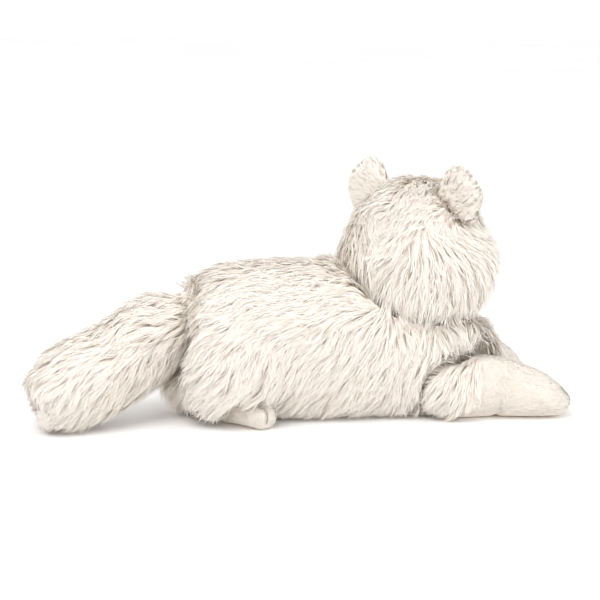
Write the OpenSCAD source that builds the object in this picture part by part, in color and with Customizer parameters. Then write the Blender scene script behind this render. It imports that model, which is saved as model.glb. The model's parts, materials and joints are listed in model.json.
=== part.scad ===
// Plush long-haired cat lying flat, head turned to its left, tail swept back and down.
// Millimetres. X is the cat's forward, Y its left, Z up, floor at Z = 0.
// Every soft piece is drawn at the outside of its pile: covers are shells, fillings sit inside them.

/* [Trunk] */
// Length of the trunk from rump to chest
trunk_length = 218; // [212:1:224]
// Half of the trunk's widest width
trunk_half_width = 50; // [48:1:52]
// Height of the back above the floor
back_height = 108; // [104:1:112]
// How square the trunk's section is, 2 is an ellipse
trunk_squareness = 2.3; // [2:0.1:2.6]
// Height of the seam between belly panel and side panels
belly_seam_height = 14; // [11:1:17]

/* [Pile and cloth] */
// Long-pile cover, cloth and fur together
long_pile = 8; // [6:0.5:9]
// Long-pile cover on the head
head_pile = 6; // [5:0.5:7]
// Short-pile cover on legs and feet
short_pile = 2.6; // [2.2:0.1:3.2]
// Underside of the covers, pressed flat by the floor
sole_thickness = 4; // [3:0.5:5]

/* [Head] */
// Height of the head's centre above the floor
head_height = 114; // [112:0.5:117]
// Where the head's centre is along the cat
head_along = 95; // [93:1:97]
// How far the head is turned to the cat's left
head_turn = 40; // [30:1:50]
// Half of the head's width at the cheeks
cheek_half_width = 57.5; // [54:0.5:57.5]
// Radius of the ball that the neck seam lets the head roll in
neck_seam_radius = 58; // [57:0.5:59]
// Width of a safety eye's dome
eye_width = 11.6; // [10:0.2:13]

/* [Ears] */
// Ear width along its seam
ear_width = 34; // [32:1:36]
// Ear height above its seam
ear_height = 23; // [21:1:25]
// Ear thickness in the middle
ear_thickness = 8; // [7:0.5:9]
// Slope of the ear's seam, falling outward
ear_slope = 36; // [32:1:40]

/* [Forelegs] */
// Reach of the right foreleg in front of its shoulder
right_reach = 88; // [84:1:92]
// Reach of the left foreleg, which lies a little further back
left_reach = 79; // [74:1:84]
// Half of the paw's width
paw_half_width = 19.5; // [17:0.5:20]
// How far each shoulder is from the middle
shoulder_offset = 31; // [30:0.5:33]

/* [Hind legs] */
// Half of the hind foot's width
hind_foot_half_width = 12.5; // [11:0.5:13]
// Reach of the hind foot in front of its ankle
hind_foot_reach = 37; // [34:1:39]
// How far the hind feet point outward
hind_foot_splay = 42; // [38:1:46]

/* [Tail] */
// Thickest radius of the tail, fur included
tail_radius = 33; // [30:0.5:34]
// Radius of the ball at the tail's root
tail_root_radius = 26; // [25:0.5:27]

/* [Fit] */
// Clearance around everything that moves
joint_gap = 0.7; // [0.6:0.1:0.9]
// Clearance between a cover and its filling
layer_gap = 0.4; // [0.3:0.1:0.5]
// Points around a soft section
section_points = 18; // [14:2:22]

/* [Hidden] */
LEFT = 1;
RIGHT = -1;
trunk_rear = -76;
trunk_steps = 1;
head_centre = [head_along, 0, head_height];
tail_root = [-70, 0, 66];
shoulder_along = 110;
shoulder_height = 24;
shoulder_radius = 22;
foreleg_lift = 15;
ankle = [-44, 28, 0];
ankle_radius = 11;
hind_foot_height = 20;
foot_swing = 8;
// The foot's upper and its sole meet in a seam at this height.
foot_seam_height = 5.5;
neck_ball_radius = 20;
neck_stem_radius = 12;
neck_stem_foot = 40;
nod_room = 14;
tail_swing = [-38, 8];
tail_lift = 30;
root_ball_radius = 15;
root_peg_radius = 8;
root_peg_length = 38;
thread = 1.4;
ear_seat = [-8, 36, 36.5];
ear_fold = 20;

// ---------- shapes by sections ----------

function power(c, e) = sign(c) * pow(abs(c), 2 / e);

// One closed section: centre, across and up directions, half width, reach up and down.
function section(c, across, up, a, hu, hd, e = 2.2, n = section_points) = [
    for (i = [0 : n - 1]) let (t = 360 * i / n)
        c + across * a * power(cos(t), e) + up * (sin(t) >= 0 ? hu : hd) * power(sin(t), e)
];

// Smooth curve through a list of vectors, with steps points for each span.
function through(p, steps) = [
    for (i = [0 : len(p) - 2]) for (k = [0 : steps - 1])
        let (t = k / steps, a = p[max(i - 1, 0)], b = p[i], c = p[i + 1], d = p[min(i + 2, len(p) - 1)])
            0.5 * (2 * b + (c - a) * t + (2 * a - 5 * b + 4 * c - d) * t * t
                + (3 * b - a - 3 * c + d) * t * t * t),
    p[len(p) - 1]
];

function unit(v) = v / norm(v);
function place(s) = [s[0], s[1], s[2]];

// A swept run of stations [x, y, z, half width, up, down], closed by a dome at each end.
function swept(st, first_dome, last_dome, e = 2.2, points = section_points) =
    let (n = len(st), d0 = unit(place(st[1]) - place(st[0])),
        d1 = unit(place(st[n - 1]) - place(st[n - 2])))
    concat(
        [for (f = [20, 52]) swept_section(place(st[0]) - d0 * first_dome * cos(f), d0, st[0], sin(f), e, points)],
        [for (i = [0 : n - 1])
            swept_section(place(st[i]), unit(place(st[min(i + 1, n - 1)]) - place(st[max(i - 1, 0)])),
                st[i], 1, e, points)],
        [for (f = [52, 20])
            swept_section(place(st[n - 1]) + d1 * last_dome * cos(f), d1, st[n - 1], sin(f), e, points)]
    );
function swept_section(c, dir, s, k, e, points) =
    let (across = unit(cross([0, 0, 1], dir)), up = cross(dir, across))
    section(c, across, up, s[3] * k, s[4] * k, s[5] * k, e, points);

module loft(rings) {
    n = len(rings[0]);
    m = len(rings);
    polyhedron(
        points = [for (r = rings) for (p = r) p],
        faces = concat(
            [[for (k = [0 : n - 1]) k]],
            [for (i = [0 : m - 2]) for (k = [0 : n - 1]) let (q = (k + 1) % n)
                [i * n + k, (i + 1) * n + k, (i + 1) * n + q]],
            [for (i = [0 : m - 2]) for (k = [0 : n - 1]) let (q = (k + 1) % n)
                [i * n + k, (i + 1) * n + q, i * n + q]],
            [[for (k = [n - 1 : -1 : 0]) (m - 1) * n + k]]
        ),
        convexity = 6
    );
}

// Keeps a soft piece as one closed skin of flat facets.
module one_piece() {
    resize([0, 0, 0]) children();
}

module above(z) {
    intersection() {
        children();
        translate([-300, -200, z]) cube([600, 400, 400]);
    }
}

module ball(r) {
    sphere(r = r, $fn = 14);
}

// ---------- trunk ----------

// Fractions of trunk length, half width, and back height for bottom and top.
trunk_plan = [
    [0, 0.52, 0.10, 0.80], [0.073, 0.82, -0.04, 0.92], [0.165, 0.93, -0.055, 0.985],
    [0.28, 0.96, -0.055, 1.01], [0.394, 0.98, -0.055, 1.015], [0.532, 0.97, -0.055, 0.985],
    [0.67, 0.95, -0.055, 0.945], [0.784, 0.95, -0.045, 0.90], [0.89, 0.91, -0.03, 0.86],
    [0.963, 0.74, 0.06, 0.80], [1, 0.52, 0.20, 0.74]
];
function trunk_stations(g) = [
    for (p = through(trunk_plan, trunk_steps))
        let (x = trunk_rear + trunk_length / 2 + (p[0] - 0.5) * (trunk_length + 2 * g),
            zc = back_height * (p[2] + p[3]) / 2, h = back_height * (p[3] - p[2]) / 2)
            [x, 0, zc, trunk_half_width * p[1] + g, h + g, h + g]
];
module trunk(g) {
    above(g < 0 ? sole_thickness : 0)
        loft(swept(trunk_stations(g), 8, 4, trunk_squareness));
}

// Room in the trunk for the head, legs, tail and feet that move against it.
module trunk_room() {
    translate(head_centre) sphere(r = neck_seam_radius + joint_gap, $fn = 36);
    for (side = [LEFT, RIGHT]) {
        foreleg_room(side);
        hind_foot_room(side);
    }
    tail_room();
}
module trunk_cover() {
    difference() {
        trunk(0);
        trunk(-long_pile);
        trunk_room();
    }
}
module torso_side(side) {
    color("linen") one_piece() intersection() {
        trunk_cover();
        translate([-150, side > 0 ? 0.1 : -200.1, belly_seam_height]) cube([400, 200, 200]);
    }
}
module belly_panel() {
    color("linen") one_piece() intersection() {
        trunk_cover();
        translate([-150, -200, 0]) cube([400, 400, belly_seam_height - 0.2]);
    }
}
module torso_stuffing() {
    color("whitesmoke") one_piece() difference() {
        above(sole_thickness + layer_gap) trunk(-long_pile - layer_gap);
        trunk_room();
        translate([head_along, 0, neck_stem_foot - joint_gap])
            cylinder(r = neck_stem_radius + joint_gap, h = 60, $fn = 32);
        root_peg_room();
        hull() for (drop = [0, 30]) translate([0, 0, -drop]) bag(layer_gap, -50);
    }
}

// ---------- pellet bag in the belly ----------

module bag(g, lowest = sole_thickness + 2) {
    above(lowest) translate([8, 0, 20]) scale([44 + g, 24 + g, 18 + g]) ball(1);
}
// Two cloth halves that meet in a seam around the middle.
module pellet_bag() {
    color("gainsboro") one_piece() difference() {
        bag(0);
        pellets(layer_gap / 2);
        seam_slit(20);
    }
}
module seam_slit(z) {
    translate([-300, -200, z]) cube([600, 400, 0.2]);
}
module pellets(g) {
    above(sole_thickness + 3 - g) translate([8, 0, 20])
        scale([42.8 + g, 22.8 + g, 16.8 + g]) ball(1);
}
module pellet_fill() {
    color("white") one_piece() pellets(0);
}

// ---------- haunches ----------

module haunch(side, g) {
    above(g < 0 ? sole_thickness : 0) difference() {
        haunch_lobe(side, g);
        trunk(layer_gap);
        hind_foot_room(side);
        tail_room();
        // Nothing of the haunch is left between foot and belly.
        translate([-22, -37, -1]) cube([22, 74, 13]);
    }
}
module haunch_cover(side) {
    color("linen") one_piece() difference() {
        haunch(side, 0);
        haunch_core(side, -long_pile + 1);
    }
}
module haunch_core(side, g) {
    above(sole_thickness) haunch_lobe(side, g);
}
module haunch_lobe(side, g) {
    translate([-36, side * 34, 37]) scale([38 + g, 25 + g, 41 + g]) sphere(r = 1, $fn = 18);
}
module haunch_stuffing(side) {
    color("whitesmoke") one_piece() difference() {
        above(sole_thickness + layer_gap) haunch_core(side, -long_pile + 1 - layer_gap);
        trunk(layer_gap);
        hind_foot_room(side);
        tail_room();
    }
}

// ---------- hind feet ----------

module at_ankle(side, turn = 0) {
    translate([ankle[0], side * ankle[1], 0]) rotate([0, 0, side * hind_foot_splay + turn]) children();
}
function foot_plan(g) = let (w = hind_foot_half_width, h = hind_foot_height / 2, r = hind_foot_reach) [
    [0, 0, h, ankle_radius + g, h + g, h + g],
    [r * 0.35, 0, h, w * 0.96 + g, h + g, h + g],
    [r * 0.66, 0, h * 0.96, w + g, h * 0.96 + g, h + g],
    [r * 0.84 + g, 0, h * 0.88, w * 0.86 + g, h * 0.88 + g, h + g]
];
module foot(g) {
    above(g < 0 ? short_pile : 0) union() {
        loft(swept(foot_plan(g), 3, hind_foot_reach * 0.16, 2.5, 12));
        translate([0, 0, hind_foot_height / 2])
            scale([ankle_radius + g, ankle_radius + g, hind_foot_height / 2 + g]) sphere(r = 1, $fn = 12);
    }
}
module hind_foot_room(side) {
    hull() for (turn = [-foot_swing - 1, foot_swing + 1]) at_ankle(side, turn)
        translate([0, 0, -1]) linear_extrude(height = hind_foot_height + 1 + joint_gap) hull() {
            circle(r = ankle_radius + 2 * joint_gap, $fn = 24);
            translate([hind_foot_reach * 0.6, 0]) circle(r = hind_foot_half_width + 2 * joint_gap, $fn = 24);
            translate([hind_foot_reach, 0]) circle(r = hind_foot_half_width, $fn = 24);
        }
}
// Thread lines between the toes: thin upright slices of the cover's surface.
module hind_stitch_slices(width) {
    for (y = [-5, 5]) translate([hind_foot_reach * 0.74, y - width / 2, foot_seam_height + 0.5])
        cube([30, width, hind_foot_height]);
}
module hind_foot_cover(side) {
    color("antiquewhite") one_piece() at_ankle(side) difference() {
        foot(0);
        foot(-short_pile);
        difference() {
            hind_stitch_slices(thread + 0.2);
            foot(-1);
        }
        seam_slit(foot_seam_height);
    }
}
module hind_foot_stuffing(side) {
    color("whitesmoke") one_piece() at_ankle(side)
        above(short_pile + layer_gap) foot(-short_pile - layer_gap);
}
module hind_toe_stitches(side) {
    color("rosybrown") one_piece() at_ankle(side) difference() {
        intersection() {
            foot(0.4);
            hind_stitch_slices(thread);
        }
        foot(-0.9);
    }
}

// ---------- neck ----------

module neck_stuffing() {
    color("whitesmoke") one_piece() union() {
        translate(head_centre) ball(neck_ball_radius);
        translate([head_along, 0, neck_stem_foot])
            cylinder(r = neck_stem_radius, h = head_height - neck_stem_foot, $fn = 32);
    }
}
// Room for the neck in the head: the ball, and the stem at every nod.
module neck_room() {
    ball(neck_ball_radius + 2 * joint_gap);
    hull() for (nod = [-nod_room, 0, nod_room]) rotate([0, nod, 0])
        translate([0, 0, -90]) cylinder(r = neck_stem_radius + joint_gap, h = 90, $fn = 24);
}

// ---------- head ----------

module at_head() {
    translate(head_centre) rotate([0, 0, head_turn]) children();
}
// Height above the head's centre, half width, front and back depth.
head_plan = [
    [-53, 23.5, 22, 22.5], [-47, 34, 32.5, 33], [-39, 42.9, 40, 41.5], [-28, 50.8, 46, 48],
    [-14, 56, 49, 51], [2, 57.5, 49, 51], [18, 53, 42, 48], [32, 44.5, 33, 41],
    [44, 33, 25, 30], [50.5, 21, 17, 19]
];
function head_sections(g) = let (k = cheek_half_width / 57.5, q = through(head_plan, 1)) concat(
    [head_section([-56, 12, 11, 11.5], k, g)],
    [for (s = q) head_section(s, k, g)],
    [head_section([53, 13, 10.5, 12], k, g), head_section([54, 6, 5, 5.5], k, g)]
);
function head_section(s, k, g) =
    section([0, 0, s[0] * (57 + g) / 57], [0, -1, 0], [1, 0, 0],
        max(s[1] * k * (57.5 + g) / 57.5, 1), max(s[2] * (50 + g) / 50, 1), max(s[3] * (50 + g) / 50, 1), 2.15);
module skull(g) {
    loft(head_sections(g));
}
module muzzle(g) {
    for (y = [-7, 7]) translate([42, y, -14]) scale([14 + g, 12.5 + g, 12 + g]) ball(1);
}
module head_cover() {
    difference() {
        skull(0);
        skull(-head_pile);
        neck_room();
        for (side = [LEFT, RIGHT]) {
            ear_room(side);
            eye_shape(side, layer_gap / 2);
        }
    }
}
module head_back(side) {
    color("linen") one_piece() at_head() intersection() {
        head_cover();
        translate([-100, side > 0 ? 0.1 : -200.1, -100]) cube([112, 200, 200]);
    }
}
module face_panel() {
    color("linen") one_piece() at_head() intersection() {
        head_cover();
        translate([12.2, -100, -100]) cube([100, 200, 200]);
    }
}
module muzzle_pad() {
    color("linen") one_piece() at_head() difference() {
        muzzle(0);
        skull(0.4);
        nose_shape(layer_gap / 2);
        mouth_line(thread / 2 + 0.15);
    }
}
module head_stuffing() {
    color("whitesmoke") one_piece() at_head() difference() {
        skull(-head_pile - layer_gap);
        neck_room();
        for (side = [LEFT, RIGHT]) {
            ear_room(side);
            eye_shape(side, layer_gap / 2);
            washer_shape(side, layer_gap / 2);
        }
    }
}

// ---------- eyes, nose and mouth ----------

module at_eye(side) {
    rotate([0, 0, side * 24]) translate([0, 0, 7]) rotate([0, 90, 0]) children();
}
// A dome seated in the cover, with the ribbed post behind it.
module eye_shape(side, g) {
    at_eye(side) {
        intersection() {
            translate([0, 0, 40.5]) sphere(r = eye_width / 2 + 3.4 + g, $fn = 20);
            translate([0, 0, 42 - g]) cylinder(r = 20, h = 20, $fn = 12);
        }
        translate([0, 0, 24 - g]) cylinder(r = 2 + g, h = 19, $fn = 12);
    }
}
module washer_shape(side, g) {
    at_eye(side) translate([0, 0, 34 - g]) cylinder(r = 7.5 + g, h = 2 + 2 * g, $fn = 20);
}
module eye(side) {
    color("steelblue") one_piece() at_head() eye_shape(side, 0);
}
module eye_washer(side) {
    color("white") one_piece() at_head() difference() {
        washer_shape(side, 0);
        eye_shape(side, layer_gap / 2);
    }
}
module nose_shape(g) {
    translate([52.5, 0, -6]) hull() {
        for (y = [-3, 3]) translate([0, y, 1]) sphere(r = 3 + g, $fn = 14);
        translate([0.5, 0, -2.6]) sphere(r = 2.2 + g, $fn = 14);
    }
}
module nose() {
    color("lightpink") one_piece() at_head() difference() {
        nose_shape(0);
        skull(0.4);
    }
}
// An upside-down Y of thread: down from the nose, then a curve under each cheek.
mouth_run = [[54.5, 0, -12.2], [55.2, 0, -15.6], [55.6, 3.2, -18.4], [54.4, 7.6, -19.8], [51.2, 12, -19.4]];
module mouth_line(r) {
    for (side = [LEFT, RIGHT]) for (i = [0 : len(mouth_run) - 2]) hull() for (p = [mouth_run[i], mouth_run[i + 1]])
        translate([p[0], side * p[1], p[2]]) sphere(r = r, $fn = 6);
}
module mouth_stitch() {
    color("rosybrown") one_piece() at_head() mouth_line(thread / 2);
}

// ---------- ears ----------

// The ear stands on its seam: X forward, Y along the seam, Z out of the head.
module at_ear(side) {
    mirror([0, side > 0 ? 0 : 1, 0]) translate(ear_seat) rotate([-ear_slope, 0, 0]) children();
}
module ear_outline(inset) {
    k = ear_width / 38;
    offset(delta = -inset) hull() {
        translate([-10 * k, ear_height - 9]) circle(r = 9, $fn = 28);
        translate([3 * k, ear_height - 13]) circle(r = 12, $fn = 28);
        translate([12 * k, 5]) circle(r = 7 * k, $fn = 28);
        translate([-ear_width / 2, -1]) square([ear_width, 4]);
    }
}
module upright(thickness) {
    rotate([90, 0, 90]) linear_extrude(height = thickness, center = true) children();
}
module ear_blade() {
    hull() {
        upright(ear_thickness * 0.45) ear_outline(0);
        upright(ear_thickness) ear_outline(3);
    }
    rotate([90, 0, 0]) cylinder(r = 4.5, h = ear_width - 2, center = true, $fn = 24);
}
module ear_pocket(g) {
    translate([ear_thickness / 2 - 1.1 - g / 2, 0, 0]) upright(2.2 + g) intersection() {
        ear_outline(5.5 - g);
        translate([-40, 5.5 - g]) square([80, 60]);
    }
}
module ear_back(side) {
    color("linen") one_piece() at_head() at_ear(side) difference() {
        ear_blade();
        ear_pocket(0.2);
    }
}
module ear_lining(side) {
    color("mistyrose") one_piece() at_head() at_ear(side) intersection() {
        ear_pocket(0);
        ear_blade();
    }
}
module ear_room(side) {
    at_ear(side) {
        rotate([90, 0, 0]) cylinder(r = 4.5 + joint_gap, h = ear_width + 2, center = true, $fn = 24);
        hull() for (fold = [-ear_fold - 3, ear_fold + 3]) rotate([0, fold, 0])
            translate([-ear_thickness / 2 - joint_gap, -ear_width / 2 - 3, 0])
                cube([ear_thickness + 2 * joint_gap, ear_width + 6, 16]);
    }
}

// ---------- forelegs ----------

function shoulder(side) = [shoulder_along, side * shoulder_offset, shoulder_height];
function reach(side) = side > 0 ? left_reach : right_reach;
// Fraction of the reach, half width as a fraction of the paw, height of the top: right, then left.
leg_plan = [
    [0.00, 1.00, 40, 40], [0.20, 0.97, 46, 47], [0.37, 0.90, 43.5, 47], [0.46, 0.95, 42, 46.5],
    [0.60, 1.00, 37, 43], [0.74, 1.02, 32, 35], [0.87, 0.95, 24.5, 24], [0.95, 0.76, 17.5, 16]
];
function leg_stations(side, g) = [
    for (p = leg_plan)
        let (top = (side > 0 ? p[3] : p[2]) / 2, s = p[0] * (1 + g / reach(side)))
            [shoulder_along + reach(side) * s, side * (shoulder_offset + 5 * p[0]), top,
                paw_half_width * p[1] + g, top + g, top + 2 + g]
];
module foreleg(side, g) {
    above(g < 0 ? short_pile : 0) union() {
        loft(swept(leg_stations(side, g), 4, reach(side) * 0.05, 2.35, 14));
        translate(shoulder(side)) ball(shoulder_radius + g);
    }
}

// The leg's stations that lie inside the chest.
function socket_stations(side, g) = let (st = leg_stations(side, g)) [for (i = [0, 1, 3, 4]) st[i]];
// Room in the chest for the foreleg's own shape, at every lift.
module foreleg_room(side) {
    g = joint_gap + 0.3;
    translate(shoulder(side)) hull() for (lift = [2, -foreleg_lift - 2]) rotate([0, lift, 0]) {
        ball(shoulder_radius + g);
        translate(-shoulder(side)) loft(swept(socket_stations(side, g), 5, 4, 2.35, 14));
    }
}
module stitch_slices(side, width) {
    for (y = [-8, 0, 8])
        translate([shoulder_along + reach(side) * 0.84, side * (shoulder_offset + 5) + y - width / 2, 7])
            cube([40, width, 40]);
}
module foreleg_cover(side) {
    difference() {
        foreleg(side, 0);
        foreleg(side, -short_pile);
        difference() {
            stitch_slices(side, thread + 0.2);
            foreleg(side, -1);
        }
    }
}
module foreleg_half(side, outer) {
    y = side * (shoulder_offset + 2.5);
    color("antiquewhite") one_piece() intersection() {
        foreleg_cover(side);
        translate([0, outer * side > 0 ? y + 0.1 : y - 100.1, -1]) cube([300, 100, 100]);
    }
}
module foreleg_stuffing(side) {
    color("whitesmoke") one_piece()
        above(short_pile + layer_gap) foreleg(side, -short_pile - layer_gap);
}
module toe_stitches(side) {
    color("rosybrown") one_piece() difference() {
        intersection() {
            foreleg(side, 0.4);
            stitch_slices(side, thread);
        }
        foreleg(side, -0.9);
    }
}

// ---------- tail ----------

// Distances from the tail's root, and its radius as a fraction of the thickest.
tail_plan = [
    [0, 0, 0, 0.72], [-12, -4, -1, 0.79], [-26, -9, -6, 0.90], [-46, -18, -16, 0.98],
    [-70, -27, -27, 1], [-91, -34, -35, 0.94], [-103, -37, -38, 0.80]
];
function tail_stations(g) = [
    for (p = tail_plan)
        let (k = 1 + g / 130, r = tail_radius * p[3] + g)
            [tail_root[0] + p[0] * k, p[1] * k, tail_root[2] + p[2] * k, r, r, r - p[0] * 0.05]
];
module tail_body(g) {
    above(g < 0 ? sole_thickness : 0) union() {
        loft(swept(tail_stations(g), 2, 12, 2.05, 16));
        translate(tail_root) ball(tail_root_radius + g);
    }
}
// Room behind the rump for the tail at every swing and lift.
module tail_room() {
    translate(tail_root) hull() {
        sphere(r = tail_root_radius + joint_gap + 0.4, $fn = 20);
        for (s = [tail_swing[0] - 2, -15, tail_swing[1] + 2]) for (l = [-1, 15, tail_lift + 2])
            rotate([0, 0, s]) rotate([0, l, 0]) {
                translate([-12, -4, -1]) ball(tail_radius * 0.79 + 1.4);
                translate([-26, -9, -7]) ball(tail_radius * 0.90 + 1.5);
                translate([-46, -19, -17]) ball(tail_radius * 0.98 + 2);
            }
    }
}
module root_peg(g) {
    rotate([0, 90, 0]) cylinder(r = root_peg_radius + g, h = root_peg_length + g, $fn = 24);
}
module root_peg_room() {
    translate(tail_root) hull() for (s = [tail_swing[0] - 1, -15, tail_swing[1] + 1])
        rotate([0, 0, s]) root_peg(joint_gap);
}
module tail_root_stuffing() {
    color("whitesmoke") one_piece() translate(tail_root) union() {
        ball(root_ball_radius);
        root_peg(0);
    }
}
module root_room_in_tail() {
    translate(tail_root) {
        ball(root_ball_radius + joint_gap);
        hull() for (l = [1, -15, -tail_lift - 1]) rotate([0, l, 0]) root_peg(joint_gap);
    }
}
// The half of space above the seam that runs down both sides of the tail.
module over_tail_seam(lift) {
    translate(tail_root + [0, 0, lift]) rotate([0, -15, 0]) translate([-200, -100, 0]) cube([300, 200, 200]);
}
module tail_cover() {
    difference() {
        tail_body(0);
        tail_body(-long_pile);
        root_room_in_tail();
    }
}
module tail_upper() {
    color("linen") one_piece() intersection() {
        tail_cover();
        over_tail_seam(0.1);
    }
}
module tail_lower() {
    color("linen") one_piece() difference() {
        tail_cover();
        over_tail_seam(-0.1);
    }
}
module tail_stuffing() {
    color("whitesmoke") one_piece() difference() {
        above(sole_thickness + layer_gap) tail_body(-long_pile - layer_gap);
        root_room_in_tail();
    }
}

// ---------- nodes ----------

torso_side(LEFT);  // torso_side_left
torso_side(RIGHT);  // torso_side_right
belly_panel();
torso_stuffing();
pellet_bag();
pellet_fill();
haunch_cover(LEFT);  // haunch_cover_left
haunch_cover(RIGHT);  // haunch_cover_right
haunch_stuffing(LEFT);  // haunch_stuffing_left
haunch_stuffing(RIGHT);  // haunch_stuffing_right
hind_foot_cover(LEFT);  // hind_foot_cover_left
hind_foot_cover(RIGHT);  // hind_foot_cover_right
hind_foot_stuffing(LEFT);  // hind_foot_stuffing_left
hind_foot_stuffing(RIGHT);  // hind_foot_stuffing_right
hind_toe_stitches(LEFT);  // hind_toe_stitches_left
hind_toe_stitches(RIGHT);  // hind_toe_stitches_right
neck_stuffing();
head_back(LEFT);  // head_back_left
head_back(RIGHT);  // head_back_right
face_panel();
muzzle_pad();
head_stuffing();
eye(LEFT);  // eye_left
eye(RIGHT);  // eye_right
eye_washer(LEFT);  // eye_washer_left
eye_washer(RIGHT);  // eye_washer_right
nose();
mouth_stitch();
ear_back(LEFT);  // ear_back_left
ear_back(RIGHT);  // ear_back_right
ear_lining(LEFT);  // ear_lining_left
ear_lining(RIGHT);  // ear_lining_right
foreleg_half(LEFT, 1);  // foreleg_outer_left
foreleg_half(RIGHT, 1);  // foreleg_outer_right
foreleg_half(LEFT, -1);  // foreleg_inner_left
foreleg_half(RIGHT, -1);  // foreleg_inner_right
foreleg_stuffing(LEFT);  // foreleg_stuffing_left
foreleg_stuffing(RIGHT);  // foreleg_stuffing_right
toe_stitches(LEFT);  // toe_stitches_left
toe_stitches(RIGHT);  // toe_stitches_right
tail_root_stuffing();
tail_upper();
tail_lower();
tail_stuffing();
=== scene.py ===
"""A plush long-haired cat that lies flat: fur, short plush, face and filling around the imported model.

Metres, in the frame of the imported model: X is the cat's forward, Y its left, Z up, floor at Z = 0.
"""

import json
import math

import bpy
import numpy as np
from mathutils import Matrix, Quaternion, Vector, noise
from mathutils.bvhtree import BVHTree
from mathutils.kdtree import KDTree

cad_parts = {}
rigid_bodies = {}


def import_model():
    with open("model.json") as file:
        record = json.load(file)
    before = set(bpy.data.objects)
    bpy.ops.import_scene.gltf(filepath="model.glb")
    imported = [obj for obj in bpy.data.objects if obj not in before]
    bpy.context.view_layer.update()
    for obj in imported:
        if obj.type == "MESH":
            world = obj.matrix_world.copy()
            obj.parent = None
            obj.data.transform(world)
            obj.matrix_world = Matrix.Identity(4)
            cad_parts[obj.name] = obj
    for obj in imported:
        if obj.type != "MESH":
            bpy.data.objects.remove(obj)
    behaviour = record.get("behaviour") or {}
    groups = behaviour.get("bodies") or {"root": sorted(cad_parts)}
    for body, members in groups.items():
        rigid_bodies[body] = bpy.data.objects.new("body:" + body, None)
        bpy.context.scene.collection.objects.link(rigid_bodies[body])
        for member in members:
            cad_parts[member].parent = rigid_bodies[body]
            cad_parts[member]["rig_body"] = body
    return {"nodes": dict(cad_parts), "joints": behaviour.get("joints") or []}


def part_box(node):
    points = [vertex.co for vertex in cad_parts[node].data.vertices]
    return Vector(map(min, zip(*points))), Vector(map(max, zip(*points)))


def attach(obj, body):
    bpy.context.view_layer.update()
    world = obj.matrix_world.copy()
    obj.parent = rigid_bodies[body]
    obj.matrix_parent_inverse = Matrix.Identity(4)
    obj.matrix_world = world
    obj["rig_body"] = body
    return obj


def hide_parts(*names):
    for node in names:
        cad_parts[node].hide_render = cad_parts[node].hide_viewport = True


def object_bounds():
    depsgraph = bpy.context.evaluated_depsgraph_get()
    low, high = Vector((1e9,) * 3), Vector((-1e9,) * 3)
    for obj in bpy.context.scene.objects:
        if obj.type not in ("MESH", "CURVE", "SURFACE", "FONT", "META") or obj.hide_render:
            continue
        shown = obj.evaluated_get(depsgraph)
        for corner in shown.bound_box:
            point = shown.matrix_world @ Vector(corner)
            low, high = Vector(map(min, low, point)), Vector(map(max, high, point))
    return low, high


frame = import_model()
cad_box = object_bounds()

MM = 0.001
LEFT, RIGHT = 1, -1
SIDES = (("left", LEFT), ("right", RIGHT))
rng = np.random.default_rng(11)

# ---------- where things are, from the frame ----------

joint_at = {j["name"]: np.array(j["pos_m"], float) for j in frame["joints"]}
HEAD = joint_at["head_nod"]
TAIL_ROOT = joint_at["tail_swing"]
TAIL_TIP = np.array([-0.173, -0.037, 0.028])
HEAD_TURN = math.radians(40)
EYE_TURN = math.radians(24)
HIND_SPLAY = math.radians(42)
EYE_HEIGHT = 7 * MM
EYE_APEX = 49.7 * MM
EYE_RADIUS = 5.9 * MM
NOSE_TIP = np.array([54.5, 0, -6]) * MM
# Half of the mouth's thread, from under the nose to the end of the smile.
MOUTH = np.array([
    [54.5, 0, -11.5], [55.4, 0, -15.6], [55.6, 3.2, -18.4], [54.4, 7.6, -19.8], [51.2, 12, -19.4]
]) * MM
FLOOR_CLEAR = 0.5 * MM


# ---------- small maths ----------

def unit(v):
    return v / np.maximum(np.linalg.norm(v, axis=-1, keepdims=True), 1e-12)


def ramp(x, low, high):
    t = np.clip((x - low) / (high - low), 0, 1)
    return t * t * (3 - 2 * t)


def turned(v, angle):
    """v turned about Z."""
    c, s = math.cos(angle), math.sin(angle)
    return np.stack([v[..., 0] * c - v[..., 1] * s, v[..., 0] * s + v[..., 1] * c, v[..., 2]], -1)


def to_head(p):
    """A point in the head's own frame: X out of the face, Y to the cat's left, from the head's centre."""
    return turned(p - HEAD, -HEAD_TURN)


def from_head(p):
    return turned(np.asarray(p, float), HEAD_TURN) + HEAD


def across(direction, normal):
    """The part of direction that lies in the surface."""
    return unit(direction - (direction * normal).sum(-1, keepdims=True) * normal)


# ---------- materials ----------

def principled(name, colour, roughness, **inputs):
    mat = bpy.data.materials.new(name)
    mat.use_nodes = True
    node = mat.node_tree.nodes["Principled BSDF"]
    node.inputs["Base Color"].default_value = (*colour, 1)
    node.inputs["Roughness"].default_value = roughness
    for key, value in inputs.items():
        node.inputs[key.replace("_", " ")].default_value = value
    mat.diffuse_color = (*colour, 1)
    return mat, mat.node_tree, node


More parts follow.
